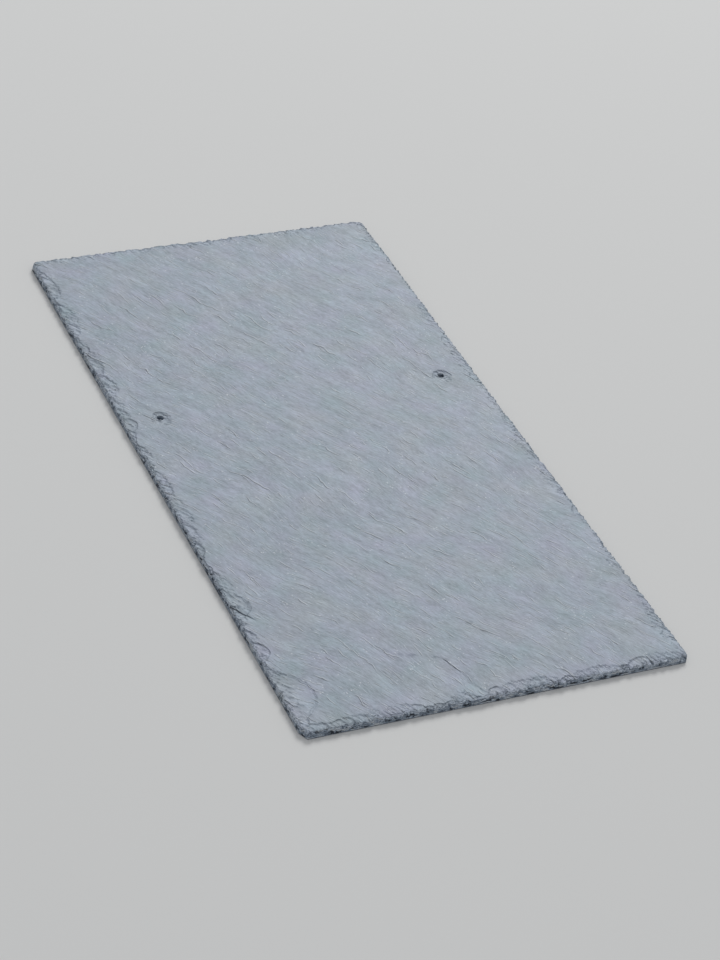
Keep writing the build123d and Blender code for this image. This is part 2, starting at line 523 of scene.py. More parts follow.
# %% Strike the small flakes
TAIL_FLAKES_PER_METRE = 280
SIDE_FLAKES_PER_METRE = 190
FLAKE_REACH_MM = (1.5, 9.5)
FLAKE_SMALLNESS = 2.2  # the power that makes small flakes the most frequent
FLAKE_ASPECT = (0.8, 2.4)  # half the length along the edge over the reach
FLAKE_LEAN = (0.0, 0.9)  # as a share of the grain's own lean
FLAKE_STEP_MM = (0.1, 0.35)
FLAKE_FALL_MM = (0.1, 0.8)
FLAKE_STEP_SHARE = 0.08  # the share of the way to the middle in which the step is complete
FLAKE_RAG = 0.22
FLAKE_RAG_MM = (1.8, 0.8)
FLAKE_SEED = 5
LEAST_EDGE_MM = 0.4  # what a bite always leaves of the stone above the bed


def struck_depth(places):
    """How deep the small flakes go at each place, in millimetres."""
    chance = np.random.default_rng(FLAKE_SEED)
    near = inset_of(places) < FLAKE_REACH_MM[1] * MM
    spots = places[near]
    coarse = [noise.noise(Vector((x, y, 0.0)) / (FLAKE_RAG_MM[0] * MM)) for x, y in spots]
    fine = [noise.noise(Vector((x, y, 3.0)) / (FLAKE_RAG_MM[1] * MM)) for x, y in spots]
    rag = FLAKE_RAG * (np.array(coarse) + 0.5 * np.array(fine))
    deepest = np.zeros(len(spots))
    for start, length, run, inward in sides(outline):
        along = (spots - start) @ run
        across = (spots - start) @ inward
        grain_lean = (GRAIN_WAY @ run) / (GRAIN_WAY @ inward)
        per_metre = SIDE_FLAKES_PER_METRE if abs(run[1]) > 0.7 else TAIL_FLAKES_PER_METRE
        for _ in range(round(per_metre * length)):
            middle = chance.uniform(0, length)
            size = chance.random() ** FLAKE_SMALLNESS
            reach = (FLAKE_REACH_MM[0] + (FLAKE_REACH_MM[1] - FLAKE_REACH_MM[0]) * size) * MM
            half = reach * chance.uniform(*FLAKE_ASPECT)
            step, fall = chance.uniform(*FLAKE_STEP_MM), chance.uniform(*FLAKE_FALL_MM)
            lean = grain_lean * chance.uniform(*FLAKE_LEAN)
            inside = 1 - np.hypot((along - middle - lean * across) / half, across / reach) - rag
            bowl = step * np.clip(inside / FLAKE_STEP_SHARE, 0, 1) + fall * np.clip(inside, 0, 1)
            deepest = np.maximum(deepest, bowl)
    found = np.zeros(len(places))
    found[near] = deepest
    return found


flaked_mm = struck_depth(face_places)
on_terrace &= flaked_mm < depth_mm
depth_mm = np.minimum(np.maximum(depth_mm, flaked_mm), THICKNESS / MM - LEAST_EDGE_MM)
face_heights = slate_high.z - depth_mm * MM
print("small flakes to", round(flaked_mm.max(), 2), "mm deep,", on_terrace.sum(), "points on terraces")

# %% [markdown]
# ## A closed blank
# The face and the bed share the places of the rings, so a few rows of quads between them close
# the mesh round the outline and in the nail holes. Each vertex then carries what the later steps
# need to know: which side it is on, how deep it was broken, and how far it lies from an edge.

# %% Close the mesh with walls
WALL_ROWS = 3

ring_points = sum(len(loop) for loop in edge_rings)
bed_start = len(face_places)
wall_start = bed_start + len(bed_places)
levels = [np.column_stack([face_places, face_heights])]
levels.append(np.column_stack([bed_places, np.zeros(len(bed_places))]))
rows = [np.arange(ring_points)]  # the vertices of each row of the walls, from the face to the bed
for row in range(1, WALL_ROWS):
    row_heights = face_heights[:ring_points] * (1 - row / WALL_ROWS)
    levels.append(np.column_stack([face_places[:ring_points], row_heights]))
    rows.append(wall_start + (row - 1) * ring_points + rows[0])
rows.append(bed_start + rows[0])
vertices = np.concatenate(levels)

faces = face_triangles.tolist() + (bed_start + bed_triangles[:, ::-1]).tolist()
first = 0
for loop in edge_rings:
    here = first + np.arange(len(loop))
    there = np.roll(here, -1)
    if loop is not edge_rings[0]:
        here, there = there, here  # the wall of a nail hole faces its axis
    for upper, lower in zip(rows, rows[1:]):
        faces += np.column_stack([lower[here], lower[there], upper[there], upper[here]]).tolist()
    first += len(loop)
print(len(vertices), "vertices,", len(faces), "faces")

# %% Say what lies where
on_face = slice(0, bed_start)
marks = {name: np.zeros(len(vertices)) for name in ("side", "depth", "terrace", "split", "drop")}
marks["side"][on_face] = 1
marks["side"][bed_start:wall_start] = -1
marks["depth"][on_face] = depth_mm
marks["terrace"][on_face] = on_terrace
marks["split"][on_face], marks["drop"][on_face] = split_at(face_places)
marks["inset"] = np.minimum(inset_of(vertices[:, :2]), from_holes(vertices[:, :2])) / MM
into_stone = np.zeros((len(vertices), 3))
for start, _, _, inward in sides(outline):
    on_edge = np.abs((vertices[:, :2] - start) @ inward) < 0.01 * MM
    into_stone[on_edge, :2] = inward

blank_mesh = bpy.data.meshes.new("slate_blank")
blank_mesh.from_pydata(vertices.tolist(), [], faces)
for name, values in marks.items():
    stored = blank_mesh.attributes.new(name, "FLOAT", "POINT")
    stored.data.foreach_set("value", values.astype(np.float32))
stored = blank_mesh.attributes.new("inward", "FLOAT_VECTOR", "POINT")
stored.data.foreach_set("vector", into_stone.astype(np.float32).ravel())
blank = bpy.data.objects.new("slate_blank", blank_mesh)
scene.collection.objects.link(blank)
print("attributes:", ", ".join([*marks, "inward"]))

# %% [markdown]
# ## The relief of split stone
# Slate splits into laminae a few tenths of a millimetre thick. A surface made by noise alone
# looks like plaster, so the noise is cut into steps: the height climbs slowly and then drops at
# the end of a lamina. Everything is stretched along the grain. The functions below build that
# from nodes that both kinds of tree know, so the mesh and the material use the same ones.

# %% Sums and products of several values
MATH = "ShaderNodeMath"
VECTOR = "ShaderNodeVectorMath"
RANGE = "ShaderNodeMapRange"  # takes a value, its least and most, and what they become
MIX = "ShaderNodeMix"  # takes a share, and what it leads from and to
NOISE = "ShaderNodeTexNoise"  # takes a place, a scale, the detail and the roughness
CELLS = "ShaderNodeTexVoronoi"  # takes a place and a scale
SEPARATE = "ShaderNodeSeparateXYZ"
COMBINE = "ShaderNodeCombineXYZ"


def sum_of(tree, *terms):
    """The sum of several values."""
    total = terms[0]
    for term in terms[1:]:
        total = add(tree, MATH, [total, term], operation="ADD")
    return total


def times(tree, *factors):
    """The product of several values."""
    product = factors[0]
    for factor in factors[1:]:
        product = add(tree, MATH, [product, factor], operation="MULTIPLY")
    return product


# %% Coordinates along the grain
GRAIN_BEND_MM = 26.0
GRAIN_BEND_SIZE_MM = 110.0
HALF = (0.5, 0.5, 0.5)


def grain_space(tree, place_mm, angle, bend_mm):
    """A place in millimetres, turned so that X runs across the grain and Y along it, and bent."""
    turn = {"Vector": place_mm, "Angle": angle}
    turned = add(tree, "ShaderNodeVectorRotate", turn, rotation_type="Z_AXIS")
    wander = add(tree, NOISE, [place_mm, 1 / GRAIN_BEND_SIZE_MM, 1.0])
    centred = add(tree, VECTOR, [wander.outputs["Color"], HALF], operation="SUBTRACT")
    bend = add(tree, VECTOR, [centred, bend_mm], operation="SCALE")
    return add(tree, VECTOR, [turned, bend], operation="ADD")


def streaks(tree, grain, width_mm, length_mm, detail, roughness=0.6):
    """Noise drawn out along the grain, from 0 to 1 about a half."""
    per_mm = (1 / width_mm, 1 / length_mm, 1 / width_mm)
    scaled = add(tree, VECTOR, [grain, per_mm], operation="MULTIPLY")
    return add(tree, NOISE, [scaled, 1.0, detail, roughness])


def laminate(tree, layers, riser):
    """A smooth count of laminae cut into steps, whose risers take a share of each step."""
    part = add(tree, MATH, [layers], operation="FRACT")
    whole = add(tree, MATH, [layers, part], operation="SUBTRACT")
    return sum_of(tree, whole, add(tree, RANGE, [part, 1.0 - riser, 1.0]))


# %% [markdown]
# ### Where laminae end
# The end of a lamina is a fine line along the grain, a few millimetres to a few centimetres
# long. Contour lines of a noise would close into rings, which stone never does. So the grain is
# ruled with parallel lines, a noise makes them waver, and each line gets its own chance pattern
# along its length, which keeps some stretches and lets the rest fade out to a point.

# %% Rule the ends of the laminae
# The gap between lines, their waver and the length of a stretch in millimetres, how rare the
# stretches are, the turn from the grain in degrees, the step down and the slope's width
LaminaSet = namedtuple("LaminaSet", "gap waver stretch rare turn step slope")
LAMINA_SETS = {
    "long": LaminaSet(15.0, 16.0, 24.0, 0.53, 0.0, 0.25, 6.0),
    "middle": LaminaSet(6.6, 9.0, 13.0, 0.53, 6.0, 0.2, 3.0),
    "short": LaminaSet(3.9, 6.0, 8.0, 0.53, -8.0, 0.11, 1.8),
    "hair": LaminaSet(2.0, 4.0, 5.0, 0.54, 3.0, 0.05, 0.9),
}
WAVER_SIZE_MM = (34.0, 24.0)  # across and along the grain, slow enough that no line hooks back
FADE_OUT = 0.12  # how far over its threshold the chance pattern goes before a line is whole
LINE_NUMBER_STEP = 7.31  # sets the chance pattern of one line apart from the next


def lamina_ends(tree, grain, lines):
    """How far a place lies across from the nearest line of a set, and how much is left of the line."""
    turn = {"Vector": grain, "Angle": math.radians(lines.turn)}
    turned = add(tree, "ShaderNodeVectorRotate", turn, rotation_type="Z_AXIS")
    parts = add(tree, SEPARATE, [turned])
    wander = sum_of(tree, streaks(tree, turned, *WAVER_SIZE_MM, 2.5), -0.5)
    ruled = times(tree, sum_of(tree, parts.outputs["X"], times(tree, wander, lines.waver)), 1 / lines.gap)
    number = add(tree, MATH, [ruled], operation="ROUND")
    off = times(tree, add(tree, MATH, [ruled, number], operation="SUBTRACT"), lines.gap)
    numbered = times(tree, number, LINE_NUMBER_STEP)
    stretched = times(tree, parts.outputs["Y"], 1 / lines.stretch)
    own = add(tree, COMBINE, [numbered, stretched, lines.gap])
    chance = add(tree, NOISE, [own, 1.0, 1.0])
    return off, add(tree, RANGE, [chance, lines.rare, lines.rare + FADE_OUT])


def lamina_step(tree, grain, lines):
    """The stone missing beside the lines of a set, in millimetres: a sharp step, then a slope back up."""
    off, left = lamina_ends(tree, grain, lines)
    below = add(tree, MATH, [off, 0.0], operation="LESS_THAN")
    return times(tree, add(tree, RANGE, [off, -lines.slope, 0.0]), below, left, lines.step)


print("sets of lines", {name: lines.gap for name, lines in LAMINA_SETS.items()}, "mm apart")

# %% [markdown]
# ### A tree with named sizes
# The relief goes into a Geometry Nodes tree, because there each size is an input with a name,
# and the whole surface can be made again with other ones. Its places are taken flat and moved
# off by a seed, so that another seed gives another slate.

# %% Start the Geometry Nodes tree
SEED_MM = 41.0
RELIEF_SIZES = {
    "Grain angle": GRAIN_ANGLE,
    "Grain bend mm": GRAIN_BEND_MM,
    "Thickness mm": THICKNESS / MM,
    "Swell mm": 0.45,
    "Streak depth mm": 0.2,
    "Rim lamina mm": 0.95,
    "Chunks per mm": 0.42,
    "Chunk depth mm": 1.0,
    "Rag mm": 0.8,
    "Bed relief mm": 0.25,
    "Seed mm": SEED_MM,
}

rive = bpy.data.node_groups.new("riven relief", "GeometryNodeTree")
rive.is_modifier = True
rive.interface.new_socket("Geometry", in_out="INPUT", socket_type="NodeSocketGeometry")
rive.interface.new_socket("Geometry", in_out="OUTPUT", socket_type="NodeSocketGeometry")
for name in RELIEF_SIZES:
    rive.interface.new_socket(name, in_out="INPUT", socket_type="NodeSocketFloat")
rive.interface.new_socket("Stone", in_out="INPUT", socket_type="NodeSocketMaterial")
given = add(rive, "NodeGroupInput").outputs

place = add(rive, "GeometryNodeInputPosition")
in_mm = add(rive, VECTOR, [place, 1 / MM], operation="SCALE")
seed_offset = add(rive, COMBINE, [given["Seed mm"], given["Seed mm"]])
flat_mm = add(rive, VECTOR, [in_mm, (1.0, 1.0, 0.0)], operation="MULTIPLY")
place_mm = add(rive, VECTOR, [flat_mm, seed_offset], operation="ADD")
mark = {}
for name in ("side", "depth", "inset", "terrace", "split"):
    mark[name] = add(rive, "GeometryNodeInputNamedAttribute", {"Name": name}, data_type="FLOAT")
print(len(RELIEF_SIZES), "sizes go into the tree")

# %% [markdown]
# ### The open face
# Three things lie over each other on a riven face: a slow swell, left by the wedge as it splits
# the block, soft streaks along the grain, and the steps at the ends of laminae. The mesh takes
# the two larger sets of steps, and the finer ones are left to bump.

# %% Relief of the face
SWELL_SIZE_MM = 60.0
STREAK_SIZE_MM = (4.5, 18.0)

grain = grain_space(rive, place_mm, given["Grain angle"], given["Grain bend mm"])
swell = add(rive, NOISE, [place_mm, 1 / SWELL_SIZE_MM, 2.0])
swell_mm = times(rive, swell, given["Swell mm"])
fine_mm = times(rive, streaks(rive, grain, *STREAK_SIZE_MM, 3.0), given["Streak depth mm"])
long_mm = lamina_step(rive, grain, LAMINA_SETS["long"])
middle_mm = lamina_step(rive, grain, LAMINA_SETS["middle"])
face_mm = sum_of(rive, swell_mm, fine_mm, sum_of(rive, long_mm, middle_mm))
print(len(rive.nodes), "nodes")

# %% [markdown]
# ### The dressed rim
# A blow of the knife breaks the edge layer by layer. Seen from the side, the bevel is a stack of
# ragged ledges, broken into fragments that each lie a little differently. So each fragment is
# raised or sunk and tilted by chance, and the depth is then cut into thick laminae, or in the
# shallow flakes that ran on into the face, into thin ones. A terrace keeps its clean floor.

# %% Relief of the rim
CRUMB_SIZE_MM = 3.4
SUNK, TILTED, CRUMBLED = 0.35, 0.25, 2.6  # the parts that make up the roughness
BROKEN_MM = (0.45, 1.5)  # the depths between which the rim turns rough
TOUCHED_MM = (0.01, 0.12)  # the depths between which a flake's floor sets in
THIN_LAMINA_MM = 0.2
FEATHER_SIZE_MM = (2.2, 9.0)
FEATHER_MM = 1.3
LEDGE_SHARE = 0.9
RISER = 0.22  # the share of a lamina's thickness over which it drops

chunk = add(rive, CELLS, [place_mm, given["Chunks per mm"]])
chance = add(rive, VECTOR, [chunk.outputs["Color"], HALF], operation="SUBTRACT")
sunk = add(rive, SEPARATE, [chance]).outputs["Z"]
from_middle = add(rive, VECTOR, [place_mm, chunk.outputs["Position"]], operation="SUBTRACT")
tilt = add(rive, VECTOR, [from_middle, chance], operation="DOT_PRODUCT")
crumbs = add(rive, NOISE, [place_mm, 1 / CRUMB_SIZE_MM, 3.0])
crumbled = times(rive, sum_of(rive, crumbs, -0.5), CRUMBLED)
rough = sum_of(rive, times(rive, sunk, SUNK), times(rive, tilt, TILTED), crumbled)
broken = add(rive, RANGE, [mark["depth"], *BROKEN_MM], interpolation_type="SMOOTHSTEP")
rough_mm = times(rive, rough, given["Chunk depth mm"], broken)

struck = add(rive, RANGE, [mark["terrace"], 0.0, 1.0, 1.0, 0.0])
near_edge = add(rive, RANGE, [mark["inset"], 5.0, 14.0, 1.0, 0.1])
touched = times(rive, add(rive, RANGE, [mark["depth"], *TOUCHED_MM]), near_edge, struck)
feather = sum_of(rive, streaks(rive, grain, *FEATHER_SIZE_MM, 2.0), -0.5)
feather_mm = times(rive, feather, FEATHER_MM, touched)
deep_mm = sum_of(rive, mark["depth"], rough_mm, feather_mm)
deep_mm = add(rive, MATH, [deep_mm, 0.0], operation="MAXIMUM")
lamina = add(rive, RANGE, [broken, 0.0, 1.0, THIN_LAMINA_MM, given["Rim lamina mm"]])
layers = add(rive, MATH, [deep_mm, lamina], operation="DIVIDE")
ledges_mm = times(rive, laminate(rive, layers, RISER), lamina)
rim_mm = add(rive, MIX, [times(rive, struck, LEDGE_SHARE), deep_mm, ledges_mm])
print(len(rive.nodes), "nodes")

# %% [markdown]
# ### Face, bed and walls
# The face goes down by its own relief and the rim's, and calms down where the edge was broken.
# The bed is riven too, but lightly, and only upward, so that the slate still lies flat.

# %% Put the stone's surfaces in place
CALM_SHARE = 0.2
BED_STREAK_MM = (7.0, 30.0)
BED_MARGIN_MM = 6.0

calm = add(rive, RANGE, [broken, 0.0, 1.0, 1.0, CALM_SHARE])
down_mm = sum_of(rive, rim_mm, times(rive, face_mm, calm), mark["split"])
top_mm = add(rive, MATH, [given["Thickness mm"], down_mm], operation="SUBTRACT")
top_mm = add(rive, MATH, [top_mm, LEAST_EDGE_MM], operation="MAXIMUM")
bed_noise = add(rive, RANGE, [streaks(rive, grain, *BED_STREAK_MM, 3.0), 0.38, 0.75])
bed_keep = add(rive, RANGE, [mark["inset"], 0.0, BED_MARGIN_MM])
bed_mm = times(rive, bed_noise, bed_keep, given["Bed relief mm"])
old_mm = times(rive, add(rive, SEPARATE, [place]).outputs["Z"], 1 / MM)
on_top = add(rive, MATH, [mark["side"], 0.5], operation="GREATER_THAN")
on_bed = add(rive, MATH, [mark["side"], -0.5], operation="LESS_THAN")
high_mm = add(rive, MIX, [on_top, old_mm, top_mm])
high_mm = add(rive, MIX, [on_bed, high_mm, bed_mm])
print(len(rive.nodes), "nodes")

# %% [markdown]
# The upper edge of the sheared wall is ragged too. Its points are drawn into the stone by a
# chance amount, while the lower edge stays as straight as the shears left it.

# %% Draw the ragged edge in
RAG_SIZE_MM = 1.2
RAG_FROM_BED_MM = 0.8

wall_chunks = add(rive, CELLS, [in_mm, given["Chunks per mm"]])
wall_chance = add(rive, SEPARATE, [wall_chunks.outputs["Color"]]).outputs["X"]
wall_noise = add(rive, NOISE, [in_mm, 1 / RAG_SIZE_MM, 2.0])
above_bed = add(rive, RANGE, [old_mm, 0.0, RAG_FROM_BED_MM])
rag = times(rive, times(rive, wall_chance, wall_noise), above_bed, given["Rag mm"], MM)
inward_at = add(rive, "GeometryNodeInputNamedAttribute", {"Name": "inward"}, data_type="FLOAT_VECTOR")
pulled = add(rive, VECTOR, [inward_at, rag], operation="SCALE")
moved = add(rive, SEPARATE, [add(rive, VECTOR, [place, pulled], operation="ADD")])
final_place = [moved.outputs["X"], moved.outputs["Y"], times(rive, high_mm, MM)]
final = add(rive, COMBINE, final_place)
relieved = add(rive, "GeometryNodeSetPosition", {"Geometry": given["Geometry"], "Position": final})
print(len(rive.nodes), "nodes")

# %% [markdown]
# The material needs to know how deep the stone was broken and how many laminae lie above a
# place, so both are stored on the mesh. The walls count as broken all the way down.

# %% Store the depth and the layers and finish the tree
WALL_DEPTH_MM = 3.0

on_edge_or_bed = add(rive, MATH, [mark["side"]], operation="ABSOLUTE")
on_wall = add(rive, MATH, [1.0, on_edge_or_bed], operation="SUBTRACT")
marked_depth = add(rive, MATH, [deep_mm, times(rive, on_wall, WALL_DEPTH_MM)], operation="MAXIMUM")
wall_depth = add(rive, MATH, [given["Thickness mm"], old_mm], operation="SUBTRACT")
wall_layers = add(rive, MATH, [wall_depth, given["Rim lamina mm"]], operation="DIVIDE")
all_layers = add(rive, MIX, [on_top, wall_layers, layers])
marked = relieved
for name, value in {"depth": marked_depth, "layers": all_layers}.items():
    store = {"Geometry": marked, "Name": name, "Value": value}
    marked = add(rive, "GeometryNodeStoreNamedAttribute", store, data_type="FLOAT", domain="POINT")
realised = add(rive, "GeometryNodeRealizeInstances", [marked])
stoned = add(rive, "GeometryNodeSetMaterial", {"Geometry": realised, "Material": given["Stone"]})
add(rive, "NodeGroupOutput", [stoned])
print("the tree has", len(rive.nodes), "nodes")

# %% [markdown]
# ## The stone's colour
# Roofing slate is a fine-grained metamorphic mudstone, blue-grey, with mica too small to see
# singly, which gives a soft sheen and no gloss. Split faces weather pale and matt. Where the
# knife broke the edge the stone is darker, with pale mineral crumbs and a little green and brown
# growth that keeps to the rough places. All of it is one material, because on the real slate the
# one runs into the other, and an attribute says how deep the stone was broken.

# %% Start the slate material
slate_look = bpy.data.materials.new("riven slate with knapped edges")
slate_look.use_nodes = True
look = slate_look.node_tree
surface = look.nodes["Principled BSDF"]
object_place = add(look, "ShaderNodeTexCoord").outputs["Object"]
look_mm = add(look, VECTOR, [object_place, 1 / MM], operation="SCALE")
look_flat = add(look, VECTOR, [look_mm, (1.0, 1.0, 0.0)], operation="MULTIPLY")
look_place = add(look, VECTOR, [look_flat, (SEED_MM, SEED_MM, 0.0)], operation="ADD")
look_grain = grain_space(look, look_place, GRAIN_ANGLE, GRAIN_BEND_MM)
here = {}
for name in ("depth", "terrace", "layers", "drop"):
    here[name] = add(look, "ShaderNodeAttribute", attribute_name=name).outputs["Fac"]
struck_here = add(look, RANGE, [here["terrace"], 0.0, 1.0, 1.0, 0.0])


def lay_over(colour, layers):
    """Lays several colours over one, each by its own share."""
    for share, over in layers:
        colour = add(look, MIX, [share, colour, over], data_type="RGBA")
    return colour


print("the material reads", ", ".join(here))

# %% [markdown]
# The face is never one grey. Faint patches lean to teal, violet or yellow over a few
# centimetres. Much finer is the mottling, a few parts in a hundred lighter or darker, drawn out
# along the grain at every size from half a millimetre to a centimetre.

# %% Colour of the face
FACE_COLOUR = linear("#95a0ad")
TEAL_TINT = linear("#8da4a9")
VIOLET_TINT = linear("#9d9db2")
YELLOW_TINT = linear("#9fa4a3")
COOL_SIZE_MM = 24.0
WARM_SIZE_MM = 30.0
COARSE_MOTTLE_MM = (4.5, 22.0)
FINE_MOTTLE_MM = (0.8, 4.0)
CLOUDS, COARSE, FINE = 0.2, 0.9, 1.1  # how strongly each pattern lightens and darkens

cool = add(look, NOISE, [look_place, 1 / COOL_SIZE_MM, 4.0])
warm = add(look, NOISE, [look_grain, 1 / WARM_SIZE_MM, 4.0])
tint = lay_over(TEAL_TINT, [
    (add(look, RANGE, [cool, 0.3, 0.7]), VIOLET_TINT),
    (add(look, RANGE, [warm, 0.45, 0.75, 0.0, 0.7]), YELLOW_TINT),
])
face_colour = lay_over(FACE_COLOUR, [(0.5, tint)])
coarse_mottle = sum_of(look, streaks(look, look_grain, *COARSE_MOTTLE_MM, 4.0, 0.65), -0.5)
fine_mottle = sum_of(look, streaks(look, look_grain, *FINE_MOTTLE_MM, 3.0, 0.7), -0.5)
fresh = add(look, RANGE, [here["depth"], 0.1, 0.25, 0.0, 0.05])
clouds = times(look, sum_of(look, cool, -0.5), CLOUDS)
coarse_part = times(look, coarse_mottle, COARSE)
mottle = sum_of(look, 1.0, clouds, coarse_part, times(look, fine_mottle, FINE), fresh)
face_colour = add(look, VECTOR, [face_colour, mottle], operation="SCALE")
print(len(look.nodes), "nodes")

# %% [markdown]
# Every lamina end carries a thin dark stroke at the foot of its step, painted shade and dirt, and
# its upper lip is a little paler, a painted highlight. Both come from the same ruled lines as the
# steps. Pale flecks, painted glints of mica, lie between them in loose swarms, a millimetre long at
# most.

# %% Strokes at the lamina ends
# the dark grey paints shade and dirt, the pale one paints highlights and glints
SHADE_AND_DIRT_GREY = linear("#40474f")
GLINT_AND_HIGHLIGHT_PALE = linear("#d3d9dd")
# Half the width of a stroke in millimetres, and how strongly it covers the face. The dark
# strokes are painted shade and dirt at the foot of a step, the pale ones a painted highlight on
# its lip.
SHADE_AND_DIRT_STROKES = {"long": (0.28, 0.75), "middle": (0.25, 0.65), "short": (0.24, 0.52), "hair": (0.2, 0.32)}
HIGHLIGHT_STROKES = {"long": (0.35, 0.42), "middle": (0.3, 0.46), "short": (0.28, 0.44)}
LIP_OFFSET = 1.6  # from a dark stroke up to the pale one, as a multiple of its half width
SOFT_MM = 0.1


def stroke(lines, half_width, offset):
    """A line that narrows where its lamina end fades out, at an offset up the step, in millimetres."""
    off, left = lamina_ends(look, look_grain, lines)
    away = add(look, MATH, [sum_of(look, off, -offset)], operation="ABSOLUTE")
    inside = add(look, MATH, [times(look, left, half_width), away], operation="SUBTRACT")
    return add(look, RANGE, [inside, 0.0, SOFT_MM])


strokes = []
for table, offset, colour in ((HIGHLIGHT_STROKES, LIP_OFFSET, GLINT_AND_HIGHLIGHT_PALE), (SHADE_AND_DIRT_STROKES, 0.0, SHADE_AND_DIRT_GREY)):
    for name, (half_width, share) in table.items():
        line = stroke(LAMINA_SETS[name], half_width, offset * half_width)
        strokes.append((times(look, line, share), colour))
face_colour = lay_over(face_colour, strokes)
print(len(strokes), "sets of strokes")

# %% Pale flecks
FLECK_CELL_MM = (1.2, 2.8)
FLECK_RADIUS = (0.09, 0.26)  # as a share of the cell
FLECK_SWARM_MM = 13.0
FLECK_RARE = (2.25, 2.6)

per_cell = (1 / FLECK_CELL_MM[0], 1 / FLECK_CELL_MM[1], 0.0)
fleck_place = add(look, VECTOR, [look_grain, per_cell], operation="MULTIPLY")
fleck_cells = add(look, CELLS, [fleck_place, 1.0])
fleck_pick = add(look, "ShaderNodeSeparateColor", {"Color": fleck_cells.outputs["Color"]})
fleck_size = add(look, RANGE, [fleck_pick.outputs["Green"], 0.0, 1.0, *FLECK_RADIUS])
fleck_spot = add(look, MATH, [fleck_cells, fleck_size], operation="LESS_THAN")
swarm = add(look, NOISE, [look_grain, 1 / FLECK_SWARM_MM, 3.0])
fleck_chance = sum_of(look, fleck_pick.outputs["Red"], times(look, swarm, 3.0))
# the flecks are painted glints of mica
flecks = times(look, fleck_spot, add(look, RANGE, [fleck_chance, *FLECK_RARE]))
face_colour = lay_over(face_colour, [(times(look, flecks, 0.85), GLINT_AND_HIGHLIGHT_PALE)])
print(len(look.nodes), "nodes")

# %% [markdown]
# The broken edge shows the laminae end on. The relief left a count of laminae on the mesh, so
# each ledge can have a tone of its own, from near black to pale where it is fresh, and a line of
# painted shade at the foot of the next. The edge is also painted paler high up and darker toward
# its foot, as shade. Dust and a little brown or green growth keep to the roughest parts. How sharp
# an edge or a hollow is, which Cycles calls pointiness, does the rest: it paints shade into the
# hollows and pales the crests as wear.

# %% Tones of the broken edge
SHARD_MM = 7.0
CRUMB_MM = 1.2
TICK_MM = (1.4, 5.0)
CRUMB_TONE, TICK_TONE, SHADE_AND_WEAR_TONE = 0.22, 0.2, 0.1
FOOT_SHADE_TONE = (0.17, -0.03)  # painted shade: paler by the first under the face, darker by the second at the foot

geometry = add(look, "ShaderNodeNewGeometry")
within = add(look, MATH, [here["layers"]], operation="FRACT")
which = add(look, MATH, [here["layers"], within], operation="SUBTRACT")
shard_level = add(look, COMBINE, {"Z": times(look, which, LINE_NUMBER_STEP)})
shard_place = add(look, VECTOR, [look_place, 1 / SHARD_MM], operation="SCALE")
shard_place = add(look, VECTOR, [shard_place, shard_level], operation="ADD")
shard = add(look, NOISE, [shard_place, 1.0, 2.0])
shard_hue = add(look, "ShaderNodeSeparateColor", {"Color": shard.outputs["Color"]})
crumb = add(look, NOISE, [look_mm, 1 / CRUMB_MM, 4.0, 0.65])
crumb = sum_of(look, crumb, -0.5)
ticks = sum_of(look, streaks(look, look_grain, *TICK_MM, 1.0), -0.5)
# pointiness paints shade into the hollows and pales the crests as wear
sharp = add(look, RANGE, [geometry.outputs["Pointiness"], 0.42, 0.58, -SHADE_AND_WEAR_TONE, SHADE_AND_WEAR_TONE])
# painted shade: the edge is paler high up and darker toward its foot
foot = add(look, RANGE, [here["depth"], 0.6, 3.0, *FOOT_SHADE_TONE])
tones = sum_of(look, shard, times(look, crumb, CRUMB_TONE), times(look, ticks, TICK_TONE), sharp, foot)
print(len(look.nodes), "nodes")

# %% Colour of the broken edge
BROKEN_DARK = linear("#1a222d")
BROKEN_MIDDLE = linear("#7f8c9b")
BROKEN_PALE = linear("#c3cdd8")
BROWN = linear("#908878")
ALGAE = linear("#70755f")
GROWTH_SIZE_MM = 19.0
RISER_SHADE_SPAN = (1.0 - 1.3 * RISER, 1.0 - 0.8 * RISER)  # where in a lamina its line of painted shade sets in

growth = add(look, NOISE, [look_mm, 1 / GROWTH_SIZE_MM, 4.0])
flaked_here = add(look, RANGE, [here["depth"], 0.05, 0.2])
# a line of painted shade at the foot of each ledge
riser_shade = times(look, add(look, RANGE, [within, *RISER_SHADE_SPAN]), flaked_here, struck_here)
edge_colour = lay_over(BROKEN_DARK, [
    (add(look, RANGE, [tones, 0.36, 0.46]), BROKEN_MIDDLE),
    (add(look, RANGE, [tones, 0.49, 0.61]), BROKEN_PALE),
    (add(look, RANGE, [shard_hue.outputs["Red"], 0.56, 0.64, 0.0, 0.3]), BROWN),
    (add(look, RANGE, [growth, 0.6, 0.7, 0.0, 0.25]), ALGAE),
    (times(look, riser_shade, 0.75), BROKEN_DARK),
])
print(len(look.nodes), "nodes")

# %% [markdown]
# Where the stone parted along its cleavage, even deep in a flake, it looks like the face. Only
# where it broke across the grain is it dark and rough. So the steepness of the mesh decides, and
# a lesser steepness, as at the rim of a flake, gets a little painted shade and dirt. The drop of
# the long split gets the most painted shade and dirt, so it is the darkest line of all.

# %% Join the face and the edges
upright = add(look, SEPARATE, [geometry.outputs["Normal"]]).outputs["Z"]
upright = add(look, MATH, [upright], operation="ABSOLUTE")
uneven = sum_of(look, upright, times(look, crumb, 0.25))
steep = add(look, RANGE, [uneven, 0.66, 0.9, 1.0, 0.0])
knapped = times(look, steep, add(look, RANGE, [here["depth"], 0.5, 1.7, 0.2, 1.0]))
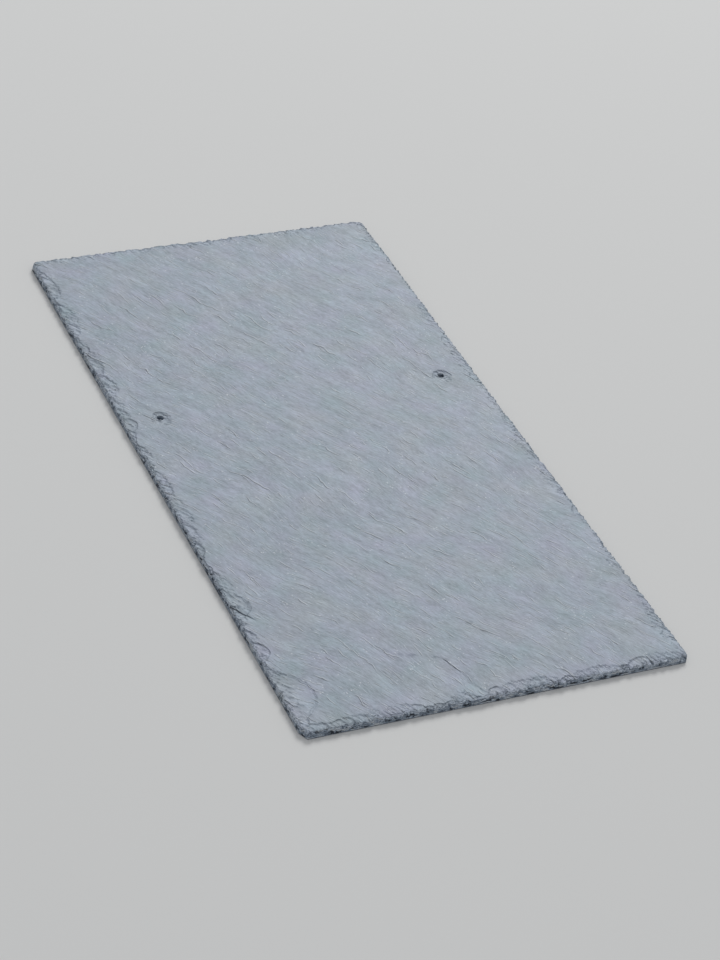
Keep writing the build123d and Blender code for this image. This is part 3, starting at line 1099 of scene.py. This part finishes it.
# painted shade and dirt on places that are a little steep
steep_shade_and_dirt = add(look, RANGE, [upright, 0.9, 0.99, 1.0, 0.0])
stone_colour = lay_over(face_colour, [
    (times(look, steep_shade_and_dirt, 0.2), SHADE_AND_DIRT_GREY),
    # a faint line of painted shade at the risers on the face
    (times(look, riser_shade, 0.06), SHADE_AND_DIRT_GREY),
    (knapped, edge_colour),
    # the most painted shade and dirt, on the drop of the long split
    (add(look, RANGE, [here["drop"], 0.2, 0.9, 0.0, 0.85]), BROKEN_DARK),
])
mixed = next(socket for socket in stone_colour.outputs if socket.enabled)
look.links.new(mixed, surface.inputs["Base Color"])
print(len(look.nodes), "nodes")

# %% [markdown]
# Relief finer than the mesh's own spacing is left to bump: the sharp risers of the laminae,
# hair-thin streaks and the grit of the stone. Slate is a dull dielectric, so its sheen is broad
# and weak, with the index of refraction of most silicates.

# %% Sheen and fine bump
GRIT_MM = 0.7
FACE_GRIT_MM, BROKEN_GRIT_MM = 0.012, 0.12
HAIR_MM = (0.8, 6.0)
HAIR_DEPTH_MM = 0.05
LEDGE_MM = 0.15

surface.inputs["IOR"].default_value = 1.5
surface.inputs["Roughness"].default_value = 0.62
grit = add(look, NOISE, [look_mm, 1 / GRIT_MM, 3.0, 0.7])
grit_mm = times(look, grit, add(look, RANGE, [knapped, 0.0, 1.0, FACE_GRIT_MM, BROKEN_GRIT_MM]))
hair_mm = times(look, streaks(look, look_grain, *HAIR_MM, 3.0), HAIR_DEPTH_MM)
short_mm = lamina_step(look, look_grain, LAMINA_SETS["short"])
thin_mm = lamina_step(look, look_grain, LAMINA_SETS["hair"])
step_mm = times(look, sum_of(look, short_mm, thin_mm), -1.0)
not_knapped = add(look, RANGE, [knapped, 0.0, 1.0, -1.0, 0.0])
ledge_mm = times(look, laminate(look, here["layers"], RISER), LEDGE_MM, not_knapped, struck_here)
bump_mm = sum_of(look, grit_mm, hair_mm, step_mm, ledge_mm)
bump = add(look, "ShaderNodeBump", {"Height": bump_mm, "Distance": MM, "Strength": 1.0})
look.links.new(bump.outputs["Normal"], surface.inputs["Normal"])
print("the material has", len(look.nodes), "nodes")

# %% [markdown]
# ## Making the piece
# The tree is put on the blank as a modifier and its sizes are set by each socket's identifier.
# The evaluated result becomes a plain mesh.

# %% Run the tree and keep the result
SHARP_TURN = math.radians(38)

modifier = blank.modifiers.new("riving", "NODES")
modifier.node_group = rive
sockets = {item.name: item.identifier for item in rive.interface.items_tree if item.in_out == "INPUT"}
for name, value in RELIEF_SIZES.items():
    modifier[sockets[name]] = value
modifier[sockets["Stone"]] = slate_look
evaluated = blank.evaluated_get(bpy.context.evaluated_depsgraph_get())
slate_mesh = bpy.data.meshes.new_from_object(evaluated)
slate_mesh.name = "riven_slate"
slate_mesh.shade_smooth()
slate_mesh.set_sharp_from_angle(angle=SHARP_TURN)
blank.modifiers.remove(modifier)
bpy.data.objects.remove(blank)
slate = bpy.data.objects.new("riven_slate", slate_mesh)
scene.collection.objects.link(slate)
triangles = sum(len(polygon.vertices) - 2 for polygon in slate_mesh.polygons)
print("the slate has", triangles, "triangles")

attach(slate, "root")
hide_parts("slate")
